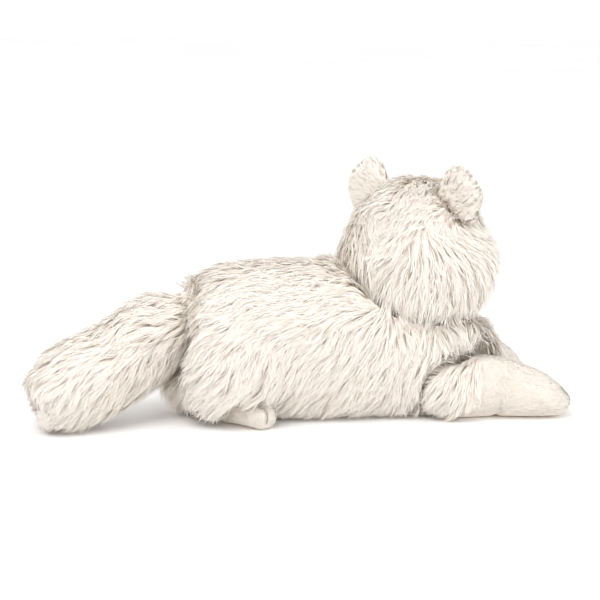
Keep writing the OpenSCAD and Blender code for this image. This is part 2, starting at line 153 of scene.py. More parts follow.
def mottled(name, dark, light, scale, roughness, bump_scale, bump, **inputs):
    """Cloth with soft patches between two colours and a fine raised grain."""
    mat, tree, node = principled(name, light, roughness, **inputs)
    place = tree.nodes.new("ShaderNodeTexCoord")
    patches = tree.nodes.new("ShaderNodeTexNoise")
    patches.inputs["Scale"].default_value = scale
    patches.inputs["Detail"].default_value = 4
    colours = tree.nodes.new("ShaderNodeValToRGB")
    colours.color_ramp.elements[0].position = 0.32
    colours.color_ramp.elements[0].color = (*dark, 1)
    colours.color_ramp.elements[1].position = 0.68
    colours.color_ramp.elements[1].color = (*light, 1)
    grain = tree.nodes.new("ShaderNodeTexNoise")
    grain.inputs["Scale"].default_value = bump_scale
    grain.inputs["Detail"].default_value = 3
    raised = tree.nodes.new("ShaderNodeBump")
    raised.inputs["Strength"].default_value = bump
    raised.inputs["Distance"].default_value = 0.4 * MM
    link = tree.links.new
    link(place.outputs["Object"], patches.inputs["Vector"])
    link(place.outputs["Object"], grain.inputs["Vector"])
    link(patches.outputs["Fac"], colours.inputs["Fac"])
    link(colours.outputs["Color"], node.inputs["Base Color"])
    link(grain.outputs["Fac"], raised.inputs["Height"])
    link(raised.outputs["Normal"], node.inputs["Normal"])
    return mat


def woven(name, dark, light, thread, roughness):
    """Plain weave: two crossed sets of waves, with painted shade in the hollows between threads."""
    mat, tree, node = principled(name, light, roughness)
    place = tree.nodes.new("ShaderNodeTexCoord")
    link = tree.links.new
    heights = []
    for direction in ("X", "Y"):
        wave = tree.nodes.new("ShaderNodeTexWave")
        wave.bands_direction = direction
        wave.inputs["Scale"].default_value = 1 / (thread * 20)
        wave.inputs["Distortion"].default_value = 1.5
        link(place.outputs["Object"], wave.inputs["Vector"])
        heights.append(wave.outputs["Fac"])
    both = tree.nodes.new("ShaderNodeMath")
    both.operation = "MULTIPLY"
    link(heights[0], both.inputs[0])
    link(heights[1], both.inputs[1])
    # Painted shade: the colour follows the weave's height, darker where it dips between threads.
    colours = tree.nodes.new("ShaderNodeValToRGB")
    colours.color_ramp.elements[0].color = (*dark, 1)
    colours.color_ramp.elements[1].color = (*light, 1)
    link(both.outputs[0], colours.inputs["Fac"])
    link(colours.outputs["Color"], node.inputs["Base Color"])
    raised = tree.nodes.new("ShaderNodeBump")
    raised.inputs["Strength"].default_value = 0.4
    raised.inputs["Distance"].default_value = 0.3 * MM
    link(both.outputs[0], raised.inputs["Height"])
    link(raised.outputs["Normal"], node.inputs["Normal"])
    return mat


# Fibre tints, from the darkest, put at the root of the pile as painted shade, to the lightest, put at its tips
# as painted light; random lock and strand tone also picks among them.
TINTS = [
    (0.865, 0.785, 0.69), (0.885, 0.815, 0.73), (0.90, 0.842, 0.767),
    (0.915, 0.862, 0.795), (0.93, 0.882, 0.822), (0.945, 0.90, 0.846),
]
fibres = [
    principled(f"fibre_{i}", tint, 0.7, Sheen_Weight=0.25, Sheen_Roughness=0.5, Specular_IOR_Level=0.25)[0]
    for i, tint in enumerate(TINTS)
]
backing = mottled("pile_backing", (0.89, 0.82, 0.73), (0.93, 0.87, 0.80), 120, 0.95, 900, 0.6)
short_plush = mottled("short_plush", (0.81, 0.74, 0.655), (0.855, 0.795, 0.725), 60, 0.9, 1400, 0.5,
                      Sheen_Weight=0.4, Sheen_Roughness=0.5)
ear_velour = mottled("ear_velour", (0.90, 0.76, 0.70), (0.95, 0.84, 0.79), 90, 0.9, 1600, 0.5,
                     Sheen_Weight=0.4, Sheen_Roughness=0.4)
nose_velour = mottled("nose_velour", (0.72, 0.40, 0.38), (0.82, 0.50, 0.47), 200, 0.8, 1800, 0.5,
                      Sheen_Weight=0.5, Sheen_Roughness=0.4)
wadding = mottled("wadding", (0.84, 0.84, 0.82), (0.94, 0.94, 0.93), 150, 0.95, 700, 1.0)
bag_weave = woven("bag_weave", (0.68, 0.66, 0.60), (0.86, 0.84, 0.79), 0.8 * MM, 0.9)
thread_grey = mottled("thread_grey", (0.40, 0.36, 0.32), (0.52, 0.47, 0.42), 900, 0.6, 2500, 0.4)
washer_plastic = mottled("washer_plastic", (0.80, 0.80, 0.78), (0.88, 0.88, 0.86), 200, 0.45, 900, 0.1)
pellet_plastic = mottled("pellet_plastic", (0.82, 0.83, 0.84), (0.92, 0.92, 0.92), 300, 0.35, 600, 0.1)


def eye_material():
    """A dark slit pupil in a streaked iris under a glossy coat, placed by the mesh's iris attribute."""
    mat, tree, node = principled("eye_plastic", (0.1, 0.2, 0.3), 0.08, Coat_Weight=1.0, Coat_Roughness=0.03)
    place = tree.nodes.new("ShaderNodeAttribute")
    place.attribute_name = "iris"
    streaks = tree.nodes.new("ShaderNodeTexNoise")
    streaks.inputs["Scale"].default_value = 60
    streaks.inputs["Detail"].default_value = 2
    sum_ = tree.nodes.new("ShaderNodeMath")
    sum_.operation = "MULTIPLY_ADD"
    sum_.inputs[1].default_value = 0.10
    rings = tree.nodes.new("ShaderNodeValToRGB")
    stops = rings.color_ramp.elements
    stops[0].position, stops[0].color = 0.40, (0.004, 0.004, 0.005, 1)
    stops[1].position, stops[1].color = 0.46, (0.06, 0.20, 0.34, 1)
    rim = ((0.70, (0.16, 0.42, 0.60, 1)), (0.95, (0.05, 0.14, 0.24, 1)), (1.0, (0.01, 0.02, 0.03, 1)))
    for position, colour in rim:
        stop = stops.new(position)
        stop.color = colour
    link = tree.links.new
    link(streaks.outputs["Fac"], sum_.inputs[0])
    link(place.outputs["Fac"], sum_.inputs[2])
    link(sum_.outputs[0], rings.inputs["Fac"])
    link(rings.outputs["Color"], node.inputs["Base Color"])
    return mat


# ---------- meshes ----------

def new_object(name, mesh):
    made = bpy.data.objects.new(name, mesh)
    bpy.context.scene.collection.objects.link(made)
    return made


def mesh_of(name, points, faces, smooth=True):
    mesh = bpy.data.meshes.new(name)
    mesh.from_pydata([tuple(p) for p in points], [], [tuple(f) for f in faces])
    if smooth:
        mesh.shade_smooth()
    return mesh


def points_of(mesh):
    co = np.empty(len(mesh.vertices) * 3, np.float32)
    mesh.vertices.foreach_get("co", co)
    return co.reshape(-1, 3).astype(float)


def set_points(mesh, points):
    mesh.vertices.foreach_set("co", points.astype(np.float32).ravel())
    mesh.update()


def normals_of(mesh):
    out = np.empty(len(mesh.vertices) * 3, np.float32)
    mesh.vertex_normals.foreach_get("vector", out)
    return out.reshape(-1, 3).astype(float)


def triangles_of(mesh):
    mesh.calc_loop_triangles()
    tri = np.empty(len(mesh.loop_triangles) * 3, np.int32)
    mesh.loop_triangles.foreach_get("vertices", tri)
    return tri.reshape(-1, 3)


def nodes_mesh(nodes):
    """The points and triangles of several CAD nodes together."""
    points, faces, count = [], [], 0
    for name in nodes:
        mesh = frame["nodes"][name].data
        points.append(points_of(mesh))
        faces.append(triangles_of(mesh) + count)
        count += len(mesh.vertices)
    return np.concatenate(points), np.concatenate(faces)


def apply_modifiers(piece):
    made = bpy.data.meshes.new_from_object(piece.evaluated_get(bpy.context.evaluated_depsgraph_get()))
    old = piece.data
    piece.modifiers.clear()
    piece.data = made
    bpy.data.meshes.remove(old)
    made.shade_smooth()


def skin_of(name, nodes, voxel, inset, smooth):
    """One smooth closed skin over several CAD nodes, drawn in by inset."""
    piece = new_object(name, mesh_of(name, *nodes_mesh(nodes)))
    remesh = piece.modifiers.new("remesh", "REMESH")
    remesh.mode = "VOXEL"
    remesh.voxel_size = voxel
    soften = piece.modifiers.new("soften", "SMOOTH")
    soften.factor = 0.5
    soften.iterations = smooth
    apply_modifiers(piece)
    set_points(piece.data, points_of(piece.data) - inset * normals_of(piece.data))
    return piece


def tree_of(piece):
    return BVHTree.FromPolygons(points_of(piece.data).tolist(), triangles_of(piece.data).tolist())


def finish_piece(piece, material, body, nodes=()):
    materials = material if isinstance(material, list) else [material]
    for mat in materials:
        piece.data.materials.append(mat)
    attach(piece, body)
    if nodes:
        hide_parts(*nodes)
    return piece


# ---------- pile ----------

LONG_STEPS = 4
SHORT_STEPS = 2
PIECE_STRANDS = 26000


def scatter(mesh, count):
    """Random points spread evenly over a mesh, with smooth normals."""
    points, normals, tri = points_of(mesh), normals_of(mesh), triangles_of(mesh)
    a, b, c = (points[tri[:, i]] for i in range(3))
    area = np.linalg.norm(np.cross(b - a, c - a), axis=1) / 2
    pick = rng.choice(len(tri), count, p=area / area.sum())
    u, v = rng.random(count), rng.random(count)
    flip = u + v > 1
    u[flip], v[flip] = 1 - u[flip], 1 - v[flip]
    w = np.stack([1 - u - v, u, v], 1)[..., None]
    chosen = tri[pick]
    return (points[chosen] * w).sum(1), unit((normals[chosen] * w).sum(1))


def surface_area(mesh):
    points, tri = points_of(mesh), triangles_of(mesh)
    a, b, c = (points[tri[:, i]] for i in range(3))
    return np.linalg.norm(np.cross(b - a, c - a), axis=1).sum() / 2


def open_to_air(points, normals, others, reach):
    """Where none of the other skins lies just outside the surface."""
    free = np.ones(len(points), bool)
    for i, (p, n) in enumerate(zip(points, normals)):
        start, way = Vector(p) + Vector(n) * 0.3 * MM, Vector(n)
        free[i] = all(tree.ray_cast(start, way, reach)[0] is None for tree in others)
    return free


def comb(root, normal, tree, flow, long, lift, sweep, droop, steps, layer, obstacles):
    """Walks each lock's middle strand over the skin and returns its path and the normals along it."""
    count = len(root)
    waves = np.array([noise.noise(Vector(r / (20 * MM))) for r in root])
    yaw = np.radians(45) * waves + np.radians(sweep) * rng.normal(size=count)
    curl = np.radians(13) * rng.normal(size=count)
    phase = rng.random(count) * 6.28
    first = np.radians(lift(root, normal) if callable(lift) else lift) * rng.uniform(0.75, 1.25, count)
    path, path_normal = [root.copy()], [normal.copy()]
    p, n = root.copy(), normal.copy()
    for k in range(steps):
        way = across(flow(p, n), n)
        turn = (yaw + curl * np.sin(phase + 1.3 * k))[:, None]
        way = way * np.cos(turn) + np.cross(n, way) * np.sin(turn)
        rise = (first * (1 - 1.2 * k / max(steps - 1, 1)))[:, None]
        step = way * np.cos(rise) + n * np.sin(rise)
        step[:, 2] -= droop * k / steps
        p = p + unit(step) * (long / steps)[:, None]
        fresh = n.copy()
        for i in range(count):
            place, face, _, _ = tree.find_nearest(Vector(p[i]))
            if (Vector(p[i]) - place).dot(face) < layer[i]:
                p[i] = place + face * layer[i]
            fresh[i] = face
            for other in obstacles:
                place, face, _, near = other.find_nearest(Vector(p[i]))
                if near < 7 * MM and (Vector(p[i]) - place).dot(face) < layer[i]:
                    p[i] = place + face * layer[i]
                    fresh[i] = face
        p[:, 2] = np.maximum(p[:, 2], FLOOR_CLEAR)
        n = unit(n + fresh)
        path.append(p.copy())
        path_normal.append(n.copy())
    return np.stack(path, 1), np.stack(path_normal, 1)


def grow(skin, others, dense, lock, flow, length, shortest, lift=36, sweep=7, droop=0.10, clump=0.35,
         keep=None, obstacles=(), steps=LONG_STEPS, stray=1.3 * MM):
    """Strands of pile on a skin, gathered in locks: paths, normals and shades.

    dense is strands per square centimetre where the pile is shortest, and longer pile is sparser, since each
    strand covers more. lock is the spacing of the locks. flow(points, normals) gives the way that the pile is
    combed, and length(points, normals) how long it is. Nothing grows where one of the other skins covers it.
    """
    mesh, tree = skin.data, tree_of(skin)
    area = surface_area(mesh)
    root, normal = scatter(mesh, int(area / lock**2))
    good = open_to_air(root, normal, others, 5 * MM)
    if keep is not None:
        good &= keep(root, normal)
    root, normal = root[good], normal[good]
    count = len(root)
    long = length(root, normal) * rng.uniform(0.8, 1.15, count)
    layer = np.minimum(rng.uniform(0.6, 2.6, count) * MM, long * 0.2)
    path, path_normal = comb(root, normal, tree, flow, long, lift, sweep, droop, steps, layer, obstacles)

    finder = KDTree(count)
    for i, r in enumerate(root):
        finder.insert(Vector(r), i)
    finder.balance()
    child, child_normal = scatter(mesh, int(area * 1e4 * dense))
    sparse = np.clip(shortest / length(child, child_normal), 0.25, 1)
    good = rng.random(len(child)) < sparse
    if keep is not None:
        good &= keep(child, child_normal)
    child, child_normal = child[good], child_normal[good]
    owner, near = np.empty(len(child), int), np.empty(len(child))
    for i, r in enumerate(child):
        _, owner[i], near[i] = finder.find(Vector(r))
    good = (near < 2 * lock) & ((child_normal * path_normal[owner, 0]).sum(1) > 0.3)
    child, owner = child[good], owner[good]
    t = np.linspace(0, 1, steps + 1)
    scale = rng.uniform(0.68, 1.0, len(child))
    at = np.clip(scale[:, None] * t * steps, 0, steps - 1e-6)
    low = at.astype(int)
    part = (at - low)[..., None]
    who = owner[:, None]
    along = path[who, low] * (1 - part) + path[who, low + 1] * part
    facing = path_normal[who, low] * (1 - part) + path_normal[who, low + 1] * part
    apart = (child - path[owner, 0])[:, None, :]
    gather = (1 - clump * t**1.2)[None, :, None]
    loose = rng.normal(size=(len(child), 1, 3)) * (t**1.5)[None, :, None] * stray
    along = along + apart * gather + loose
    along[..., 2] = np.maximum(along[..., 2], FLOOR_CLEAR)
    shade = rng.normal(size=count)[owner] * 0.3 + rng.normal(size=len(child)) * 0.35
    return along, unit(facing), shade


def ribbons(name, paths, normals, shades, width):
    """One mesh of tapering fibres, each a flat strip that ends in a point. Roots take the darker tints as
    painted shade and tips the lighter ones as painted light.
    """
    count, rows = paths.shape[:2]
    tangent = unit(np.gradient(paths, axis=1))
    side = unit(np.cross(tangent, normals))
    roll = rng.normal(size=(count, 1, 1)) * 0.4
    side = unit(side * np.cos(roll) + np.cross(tangent, side) * np.sin(roll))
    wide = width * rng.uniform(0.7, 1.25, (count, 1, 1)) * np.linspace(1, 0.6, rows - 1)[None, :, None]
    left = paths[:, :-1] - side[:, :-1] * wide / 2
    right = paths[:, :-1] + side[:, :-1] * wide / 2
    body = np.stack([left, right], 2).reshape(count, -1, 3)
    points = np.concatenate([body, paths[:, -1:]], 1)
    per = points.shape[1]
    points[..., 2] = np.maximum(points[..., 2], 0.2 * MM)
    soft = np.stack([normals[:, :-1] - side[:, :-1] * 0.12, normals[:, :-1] + side[:, :-1] * 0.12], 2)
    soft = np.concatenate([soft.reshape(count, -1, 3), normals[:, -1:]], 1)

    quads = np.array([[2 * k, 2 * k + 1, 2 * k + 3, 2 * k + 2] for k in range(rows - 2)], int)
    tip = np.array([per - 3, per - 2, per - 1])
    loops = np.concatenate([quads.ravel(), tip])
    sizes = np.array([4] * (rows - 2) + [3])
    start = np.arange(count)[:, None] * per
    mesh = bpy.data.meshes.new(name)
    mesh.vertices.add(count * per)
    mesh.loops.add(count * len(loops))
    mesh.polygons.add(count * len(sizes))
    mesh.vertices.foreach_set("co", points.astype(np.float32).ravel())
    mesh.loops.foreach_set("vertex_index", (loops[None] + start).astype(np.int32).ravel())
    every = np.tile(sizes, count)
    mesh.polygons.foreach_set("loop_start", np.concatenate([[0], np.cumsum(every)[:-1]]).astype(np.int32))
    # Painted shade and light: the tint rises from the root to the tip of each fibre, with random lock and
    # strand tone added.
    root_shade_tint = 0.8 if rows > 3 else 3.2
    bright = np.linspace(root_shade_tint, len(TINTS) - 1.1, rows - 1)[None] + shades[:, None]
    tint = np.clip(np.round(bright), 0, len(TINTS) - 1)
    mesh.polygons.foreach_set("material_index", tint.astype(np.int32).ravel())
    mesh.update(calc_edges=True)
    mesh.shade_smooth()
    mesh.normals_split_custom_set_from_vertices(unit(soft).reshape(-1, 3).tolist())
    return new_object(name, mesh)


def lay_pile(names, grown, body, nodes, width=0.6 * MM, split=None):
    """Makes the pile pieces of a coat, one name and node for each panel. split gives a root's panel."""
    paths, normals, shades = grown
    keys = np.zeros(len(paths), int) if split is None else split(paths[:, 0])
    for key, (label, node) in enumerate(zip(names, nodes)):
        mine = np.flatnonzero(keys == key)
        mine = mine[np.argsort(paths[mine, 0, 0])]
        parts = max(1, math.ceil(len(mine) / PIECE_STRANDS))
        for i, part in enumerate(np.array_split(mine, parts)):
            title = label if parts == 1 else f"{label}_{i + 1}"
            piece = ribbons(title, paths[part], normals[part], shades[part], width)
            finish_piece(piece, fibres, body, [node])


# ---------- skins ----------

def shrunk_pair(word):
    return [f"foreleg_outer_{word}", f"foreleg_inner_{word}", f"foreleg_stuffing_{word}"]


def puffed(piece, cap, pressure=4.0):
    """Blows the sewn cloth up a little as stuffing does, each point by cap at most."""
    rest = points_of(piece.data)
    cloth = piece.modifiers.new("cloth", "CLOTH")
    cloth.settings.use_pressure = True
    cloth.settings.uniform_pressure_force = pressure
    cloth.settings.effector_weights.gravity = 0
    cloth.settings.quality = 5
    cloth.settings.tension_stiffness = 20
    cloth.point_cache.frame_end = 20
    scene = bpy.context.scene
    for step in range(1, 21):
        scene.frame_set(step)
    apply_modifiers(piece)
    scene.frame_set(1)
    moved = points_of(piece.data) - rest
    far = np.linalg.norm(moved, axis=1, keepdims=True)
    moved *= np.minimum(1, cap / np.maximum(far, 1e-9))
    points = rest + moved
    points[:, 2] = np.maximum(points[:, 2], FLOOR_CLEAR)
    set_points(piece.data, points)


HAUNCH_NODES = [f"haunch_{part}_{word}" for part in ("cover", "stuffing") for word, _ in SIDES]
torso_skin = skin_of("torso_cloth",
                     ["torso_side_left", "torso_side_right", "belly_panel", "torso_stuffing", *HAUNCH_NODES],
                     3 * MM, 2.8 * MM, 8)
head_skin = skin_of("head_cloth", ["head_back_left", "head_back_right", "face_panel", "head_stuffing"],
                    2.6 * MM, 3.6 * MM, 6)
points, normals = points_of(head_skin.data), normals_of(head_skin.data)
local = unit(to_head(points) * (1, 1, 0))
cheek = ramp(local[:, 0], 0.1, 0.6) * ramp(np.abs(local[:, 1]), 0.4, 0.75) * 2.6 * MM
set_points(head_skin.data, points - normals * cheek[:, None])
tail_skin = skin_of("tail_cloth", ["tail_upper", "tail_lower", "tail_stuffing"], 3 * MM, 6.5 * MM, 8)
points, normals = points_of(tail_skin.data), normals_of(tail_skin.data)
far = ramp(TAIL_ROOT[0] - points[:, 0], 0.020, 0.055)
slack = 3.4 * MM * far * ramp(normals[:, 2], -0.1, 0.7) + 2.5 * MM * ramp(-normals[:, 0], 0.5, 0.95) * far
set_points(tail_skin.data, points - normals * slack[:, None])
muzzle_skin = skin_of("muzzle_cloth", ["muzzle_pad"], 1.2 * MM, 0.8 * MM, 4)
foot_skins, leg_skins, ear_skins, lining_skins = {}, {}, {}, {}
for word, side in SIDES:
    foot_nodes = [f"hind_foot_cover_{word}", f"hind_foot_stuffing_{word}"]
    foot_skins[word] = skin_of(f"hind_foot_plush_{word}", foot_nodes, 1.4 * MM, 0.7 * MM, 5)
    leg_skins[word] = skin_of(f"foreleg_plush_{word}", shrunk_pair(word), 1.8 * MM, 0.8 * MM, 6)
    ear_skins[word] = skin_of(f"ear_plush_{word}", [f"ear_back_{word}"], 1.2 * MM, 0.8 * MM, 4)
    lining_skins[word] = skin_of(f"ear_lining_cloth_{word}", [f"ear_lining_{word}"], 0.7 * MM, 0.1 * MM, 3)

# ---------- how the pile is combed ----------


def torso_flow(p, n):
    """Back along the spine, down the flanks, straight down under the head."""
    chest = ramp(p[:, 0], 0.045, 0.105)
    flank = ramp(-p[:, 2], -0.095, -0.05)
    way = np.zeros_like(p)
    way[:, 0] = -(1 - chest) * (1.1 - 0.35 * flank) - 0.10 * chest
    way[:, 2] = -(0.15 + 0.75 * flank) - 0.9 * chest
    way[:, 1] = 0.25 * np.sign(p[:, 1]) * (1 - flank)
    return way


def torso_length(p, n):
    top = ramp(p[:, 2], 0.075, 0.10)
    low = ramp(-p[:, 2], -0.022, -0.008)
    over = ramp(p[:, 0], 0.080, 0.105) * ramp(-p[:, 2], -0.062, -0.045)
    rump = ramp(-p[:, 0], 0.035, 0.070) * ramp(p[:, 2], 0.060, 0.085)
    return (24 - 7 * top - 9 * low + 7 * over + 8 * rump) * MM


def head_flow(p, n):
    """Combed back over the crown, fanning down and out from behind each ear into the ruff."""
    q = to_head(p)
    side = np.sign(q[:, 1])
    whorl = np.stack([-34 * np.ones(len(q)), 30 * side, 22 * np.ones(len(q))], 1) * MM
    fan = unit(q - whorl)
    fan[:, 2] -= 0.75
    crown = np.stack([-1.0 * np.ones(len(q)), 0.5 * side, -0.4 * np.ones(len(q))], 1)
    face = unit(q - NOSE_TIP)
    up = ramp(q[:, 2], 0.014, 0.034)[:, None]
    under = ramp(-q[:, 2], 0.020, 0.034)[:, None]
    front = ramp(q[:, 0], 0.020, 0.036)[:, None] * (1 - under)
    way = fan * (1 - up) + crown * up
    way = way * (1 - front) + face * front
    way = way * (1 - under) + (unit(q * (1, 1, 0)) * 0.35 - np.array([0, 0, 1.0])) * under
    return turned(way, HEAD_TURN)


def eye_centre(side):
    turn = side * EYE_TURN
    return np.array([math.cos(turn) * EYE_APEX, math.sin(turn) * EYE_APEX, EYE_HEIGHT])


def eye_distance(q):
    return np.minimum(*[np.linalg.norm(q - eye_centre(side), axis=1) for _, side in SIDES])


def head_length(p, n):
    q = to_head(p)
    crown = ramp(q[:, 2], 0.004, 0.030)
    low = ramp(-q[:, 2], 0.020, 0.042)
    front = ramp(q[:, 0], 0.016, 0.038) * (1 - ramp(-q[:, 2], 0.018, 0.034))
    beside_ear = ramp(np.abs(q[:, 1]), 0.030, 0.042) * crown
    long = 28 - 17 * crown - 3 * low * (1 - crown) + 8 * beside_ear
    long = long * (1 - front) + 9 * front
    near_eye = ramp(eye_distance(q), 0.008, 0.022)
    near_nose = ramp(np.linalg.norm(q - NOSE_TIP, axis=1), 0.010, 0.030)
    return long * (0.45 + 0.55 * near_eye) * (0.4 + 0.6 * near_nose) * MM


def head_keep(p, n):
    q = to_head(p)
    nose = np.linalg.norm(q - NOSE_TIP, axis=1) > 0.008
    neck = (q[:, 2] > -0.050) | (np.hypot(q[:, 0], q[:, 1]) > 0.020)
    return (eye_distance(q) > 0.0085) & nose & neck


def tail_flow(p, n):
    """Along the tail to its tip, sinking on both sides."""
    way = np.tile(unit(TAIL_TIP - TAIL_ROOT), (len(p), 1))
    under = 1 - np.clip(n[:, 2], 0, 1)
    way[:, 2] -= 0.45 * under
    return way


def tail_length(p, n):
    low = ramp(-p[:, 2], -0.022, -0.008)
    tip = ramp(TAIL_ROOT[0] - p[:, 0], 0.065, 0.110)
    return (25 - 8 * low * (1 - tip) - 8 * tip) * MM


def forward_flow(p, n):
    return np.tile([1.0, 0.0, -0.2], (len(p), 1))


def mane_flow(p, n):
    return np.tile([-0.45, 0.0, -0.9], (len(p), 1))


def short_length(value):
    return lambda p, n: np.full(len(p), value)


def off_floor(p, n):
    return ~((n[:, 2] < -0.75) & (p[:, 2] < 0.012))


def mane_line(p):
    """How far behind the edge between long and short pile a point of a foreleg is."""
    return 0.114 + 0.42 * p[:, 2] - p[:, 0]


def on_mane(p, n):
    return (mane_line(p) > 0) & off_floor(p, n)


def on_leg(p, n):
    return (mane_line(p) < 0.006) & off_floor(p, n)


def off_toes(lines):
    return lambda p, n: off_floor(p, n) & (distance_to_lines(p, lines) > 1.0 * MM)


# ---------- short plush: legs, feet, ears, muzzle ----------

WRIST = 0.1445
LEG_SEAM = 0.0335


def dent(piece, depth):
    """Moves each point inward by depth(points, normals)."""
    points, normals = points_of(piece.data), normals_of(piece.data)
    set_points(piece.data, points - depth(points, normals)[:, None] * normals)


def toe_paths(skin, origin, heading, centre, offsets, top=78, low=-28):
    """Lines of thread over the toes: arcs in upright planes, laid on the skin."""
    tree, paths = tree_of(skin), []
    forward = np.array([math.cos(heading), math.sin(heading), 0])
    left = np.array([-math.sin(heading), math.cos(heading), 0])
    for offset in offsets:
        middle = origin + forward * centre[0] + left * offset + np.array([0, 0, centre[1]])
        line = []
        for angle in np.radians(np.linspace(top, low, 15)):
            way = forward * math.cos(angle) + np.array([0, 0, math.sin(angle)])
            hit, face, _, _ = tree.ray_cast(Vector(middle + way * 60 * MM), Vector(-way))
            if hit is not None:
                line.append(np.array(hit))
        paths.append(np.array(line))
    return paths


def distance_to_lines(points, lines):
    return np.min([np.linalg.norm(points[:, None] - line[None], axis=2).min(1) for line in lines], 0)


toe_lines = {}
for word, side in SIDES:
    leg, foot = leg_skins[word], foot_skins[word]
    puffed(leg, 1.2 * MM)
    puffed(foot, 0.8 * MM)
    shoulder = joint_at[f"foreleg_lift_{word}"]
    ankle = joint_at[f"hind_foot_swing_{word}"] * (1, 1, 0)
    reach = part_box(f"foreleg_outer_{word}")[1][0] - shoulder[0]
    paw = shoulder * (1, 1, 0) + (reach * 0.86, side * 5 * MM, 0)
    toe_lines[f"leg_{word}"] = toe_paths(leg, paw, 0, (0, 11 * MM), (-8 * MM, 0, 8 * MM))
    toe_lines[f"foot_{word}"] = toe_paths(foot, ankle, side * HIND_SPLAY, (27 * MM, 8 * MM),
                                          (-5 * MM, 5 * MM), 70, -20)

    def leg_dents(p, n):
        crease = np.exp(-(((p[:, 0] - WRIST) / (2.2 * MM)) ** 2)) * ramp(-p[:, 2], -0.040, -0.026) * 1.5 * MM
        seam = np.exp(-(((np.abs(p[:, 1]) - LEG_SEAM) / (1.2 * MM)) ** 2)) * 0.5 * MM
        toes = np.exp(-((distance_to_lines(p, toe_lines[f"leg_{word}"]) / (2.4 * MM)) ** 2)) * 1.6 * MM
        mane = ramp(mane_line(p), 0.0, 0.016) * 1.8 * MM
        return crease + seam * (p[:, 2] > 10 * MM) + toes + mane

    def foot_dents(p, n):
        toes = np.exp(-((distance_to_lines(p, toe_lines[f"foot_{word}"]) / (1.8 * MM)) ** 2))
        return toes * 1.1 * MM

    dent(leg, leg_dents)
    dent(foot, foot_dents)

trees = {
    "torso": tree_of(torso_skin), "head": tree_of(head_skin), "tail": tree_of(tail_skin),
    "muzzle": tree_of(muzzle_skin),
    **{f"foot_{w}": tree_of(foot_skins[w]) for w, _ in SIDES},
    **{f"leg_{w}": tree_of(leg_skins[w]) for w, _ in SIDES},
    **{f"ear_{w}": tree_of(ear_skins[w]) for w, _ in SIDES},
}


def others_than(*names):
    return [tree for name, tree in trees.items() if name not in names]


# ---------- coats ----------

def nearest_of(points, node_sets):
    """Which of several sets of CAD nodes each point lies nearest to."""
    found = []
    for nodes in node_sets:
        tree = BVHTree.FromPolygons(*[part.tolist() for part in nodes_mesh(nodes)])
        found.append([tree.find_nearest(Vector(p))[3] for p in points])
    return np.argmin(found, 0)


TORSO_PANELS = [
    ["torso_side_left", "torso_side_right", "belly_panel"], ["haunch_cover_left"], ["haunch_cover_right"]
]


def torso_panel(points):
    """0 and 1 for the left and right side, 2 and 3 for the left and right haunch."""
    part = nearest_of(points, TORSO_PANELS)
    return np.where(part == 0, (points[:, 1] < 0).astype(int), part + 1)


def torso_lift(p, n):
    collar = ramp(p[:, 0], 0.090, 0.110) * ramp(p[:, 2], 0.050, 0.060)
    return 25 - 8 * ramp(p[:, 2], 0.075, 0.10) + 4 * ramp(-p[:, 0], 0.040, 0.070) + 16 * collar


pile = grow(torso_skin, others_than("torso"), 200, 2.6 * MM, torso_flow, torso_length, 17 * MM,
            lift=torso_lift, keep=off_floor, obstacles=[trees["leg_left"], trees["leg_right"]])
lay_pile(["torso_pile_left", "torso_pile_right", "haunch_pile_left", "haunch_pile_right"], pile, "torso",
         ["torso_side_left", "torso_side_right", "haunch_cover_left", "haunch_cover_right"],
         split=torso_panel)


def head_lift(p, n):
    q = to_head(p)
    return 26 - 8 * ramp(q[:, 2], 0.010, 0.030) - 8 * ramp(q[:, 0], 0.0, 0.030)


pile = grow(head_skin, others_than("head", "ear_left", "ear_right"), 340, 2.5 * MM, head_flow, head_length,
            7 * MM, lift=head_lift, keep=head_keep, obstacles=[trees["torso"]], clump=0.4)


def head_panel(roots):
    q = to_head(roots)
    return np.where(q[:, 0] > 12 * MM, 2, (q[:, 1] < 0).astype(int))


lay_pile(["head_pile_left", "head_pile_right", "face_pile"], pile, "head",
         ["head_back_left", "head_back_right", "face_panel"], split=head_panel)


def tail_lift(p, n):
    return 36 - 14 * ramp(TAIL_ROOT[0] - p[:, 0], 0.0, 0.035)


pile = grow(tail_skin, others_than("tail"), 175, 2.8 * MM, tail_flow, tail_length, 18 * MM, lift=tail_lift,
            keep=off_floor)


def tail_panel(roots):
    q = roots - TAIL_ROOT
    return (q[:, 2] < q[:, 0] * math.tan(math.radians(15))).astype(int)


lay_pile(["tail_pile_upper", "tail_pile_lower"], pile, "tail",
         ["tail_upper", "tail_lower"], split=tail_panel)

